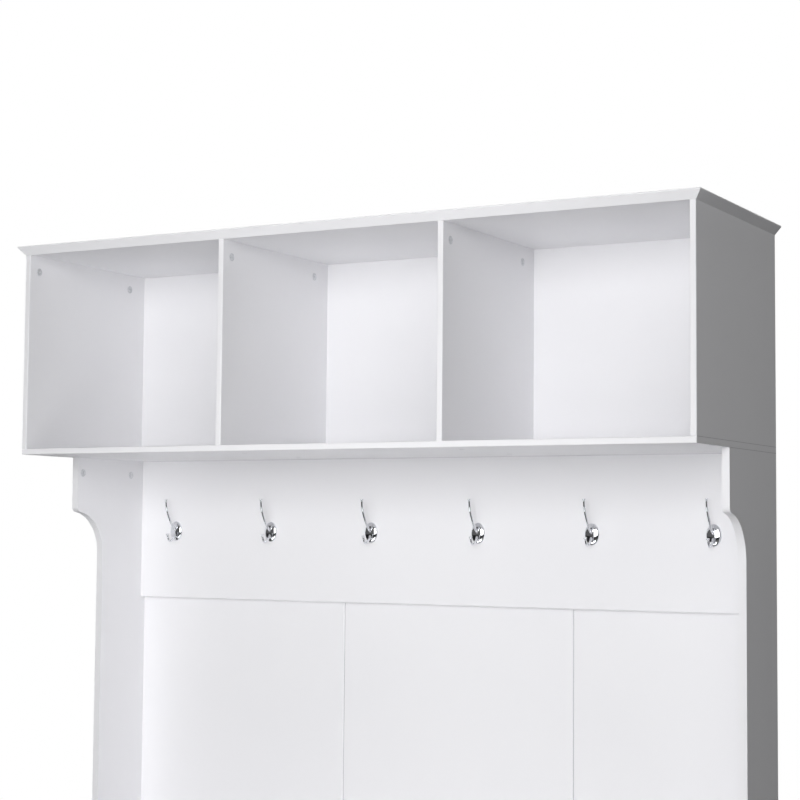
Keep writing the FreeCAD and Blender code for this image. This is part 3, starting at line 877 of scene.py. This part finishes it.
# studio: a white backdrop, which gloss sees dimmer behind and as a dark room in front
# lamps stand in front and to the right, low ones lift the undersides, others light top, sides and back
studioLook = {
    "ambient": 0.01,
    "roomDark": 0.12,
    "backdropShine": 0.35,
    "backdropEdges": (-0.25, 0.2),  # from the room to the backdrop, by the ray's share along Y
    "floorHalf": 15,
    "floorPale": 0.9,
    "floorLift": 0.5,
    "floorBounce": 0.12,
    "floorFade": (1.6, 4.5),  # from the pale floor to plain white, metres from the middle
    "floorBehind": (0.2, 1.5),  # where gloss starts to see the floor and sees it in full, metres along Y
    "lamps": {
        "key": {"place": (0.5, -4.0, 1.5), "aim": (0.05, 0, 1.2), "size": (1.5, 1.5), "power": 15},
        "rightFar": {"place": (1.7, -4.4, 1.8), "aim": (-0.2, 0, 1.4), "size": (1.4, 1.8), "power": 95},
        "rightCard": {"place": (0.7, -1.7, 1.3), "aim": (-1, -1.7, 1.3), "size": (1.6, 1.6), "power": 5},
        "rightHigh": {"place": (2.6, -3.0, 2.9), "aim": (0, 0, 1.2), "size": (1.6, 1.6), "power": 17},
        "lowCard": {"place": (0, -1.4, 0.35), "aim": (0, -1, 1.8), "size": (1.6, 0.8), "power": 9},
        "lowFar": {"place": (0.3, -3.2, 0.4), "aim": (0, 0, 1.5), "size": (2.5, 0.6), "power": 8},
        "leftCubby": {"place": (-0.5, -2.6, 1.75), "aim": (-0.5, 0.1, 1.55), "size": (0.7, 0.7), "power": 3},
        "rear": {"place": (-1.2, 4.6, 1.9), "aim": (0, 0, 0.9), "size": (2.4, 2.4), "power": 120},
        "overhead": {"place": (0.0, 0.3, 4.2), "aim": (0, 0.1, 0), "size": (2.5, 1.5), "power": 45},
        "leftSide": {"place": (-3.2, 0.9, 1.5), "aim": (-0.75, 0.1, 1.0), "size": (1.6, 2.0), "power": 36},
        "rightSide": {"place": (3.0, 0.9, 2.9), "aim": (0.75, 0.1, 1.0), "size": (1.6, 2.0), "power": 7},
    },
    "glossLamps": ("key", "rightFar", "rightHigh", "lowCard", "rear"),  # the others don't show in gloss
}


def makeLamp(name):
    look = studioLook["lamps"][name]
    data = bpy.data.lights.new(name, "AREA")
    data.shape = "RECTANGLE"
    data.size, data.size_y = look["size"]
    data.energy = look["power"]
    lamp = bpy.data.objects.new(name, data)
    scene.collection.objects.link(lamp)
    lamp.visible_camera = False
    lamp.visible_glossy = name in studioLook["glossLamps"]
    toward = Vector(look["aim"]) - Vector(look["place"])
    turn = toward.to_track_quat("-Z", "Y").to_matrix().to_4x4()
    lamp.matrix_world = Matrix.Translation(look["place"]) @ turn


# three masks: the viewer's own rays, those from gloss and those through clear pieces
def rayKinds(tree):
    outputs = ("Is Camera Ray", "Is Glossy Ray", "Is Transmission Ray")
    return [tree.node("ShaderNodeLightPath", {}, {}, output) for output in outputs]


def makeWorld():
    world = bpy.data.worlds.new("studio")
    scene.world = world
    world.use_nodes = True
    tree = shaderTree(world.node_tree)
    camera, glossy, clear = rayKinds(tree)
    towards = tree.node("ShaderNodeTexCoord", {}, {}, "Generated")
    backdrop = tree.axis(towards, "Y").step(*studioLook["backdropEdges"])
    room = studioLook["roomDark"] + (studioLook["backdropShine"] - studioLook["roomDark"]) * backdrop
    strength = camera + clear + glossy * room + (1 - camera - clear - glossy) * studioLook["ambient"]
    light = tree.node("ShaderNodeBackground", {}, {"Color": grey(1), "Strength": strength})
    tree.node("ShaderNodeOutputWorld", {}, {"Surface": light})


def makeFloor():
    half = studioLook["floorHalf"]
    corners = [(-half, -half, 0), (half, -half, 0), (half, half, 0), (-half, half, 0)]
    mesh = bpy.data.meshes.new("floor")
    mesh.from_pydata(corners, [], [(0, 1, 2, 3)])
    floor = bpy.data.objects.new("floor", mesh)
    scene.collection.objects.link(floor)
    material, tree = newMaterial("paleFloor")
    camera, glossy, clear = rayKinds(tree)
    spot = tree.place((1, 1, 0))
    distance = tree.node("ShaderNodeVectorMath", {"operation": "LENGTH"}, {0: spot}, "Value")
    white = tree.node("ShaderNodeEmission", {}, {"Color": grey(1), "Strength": 1})
    lift = tree.node("ShaderNodeEmission", {}, {"Color": grey(1), "Strength": studioLook["floorLift"]})
    pale = tree.node("ShaderNodeBsdfDiffuse", {}, {"Color": grey(studioLook["floorPale"])})
    near = tree.node("ShaderNodeAddShader", {}, {0: pale, 1: lift})
    away = distance.step(*studioLook["floorFade"])
    shown = tree.node("ShaderNodeMixShader", {}, {0: away, 1: near, 2: white})
    dim = tree.node("ShaderNodeBsdfDiffuse", {}, {"Color": grey(studioLook["floorBounce"])})
    behind = tree.axis(spot, "Y").step(*studioLook["floorBehind"]) * studioLook["backdropShine"]
    surface = tree.node("ShaderNodeMixShader", {}, {0: camera + clear + glossy * behind, 1: dim, 2: shown})
    tree.node("ShaderNodeOutputMaterial", {}, {"Surface": surface})
    mesh.materials.append(material)


makeCamera()
for name in studioLook["lamps"]:
    makeLamp(name)
makeWorld()
makeFloor()
print("camera and studio ready")
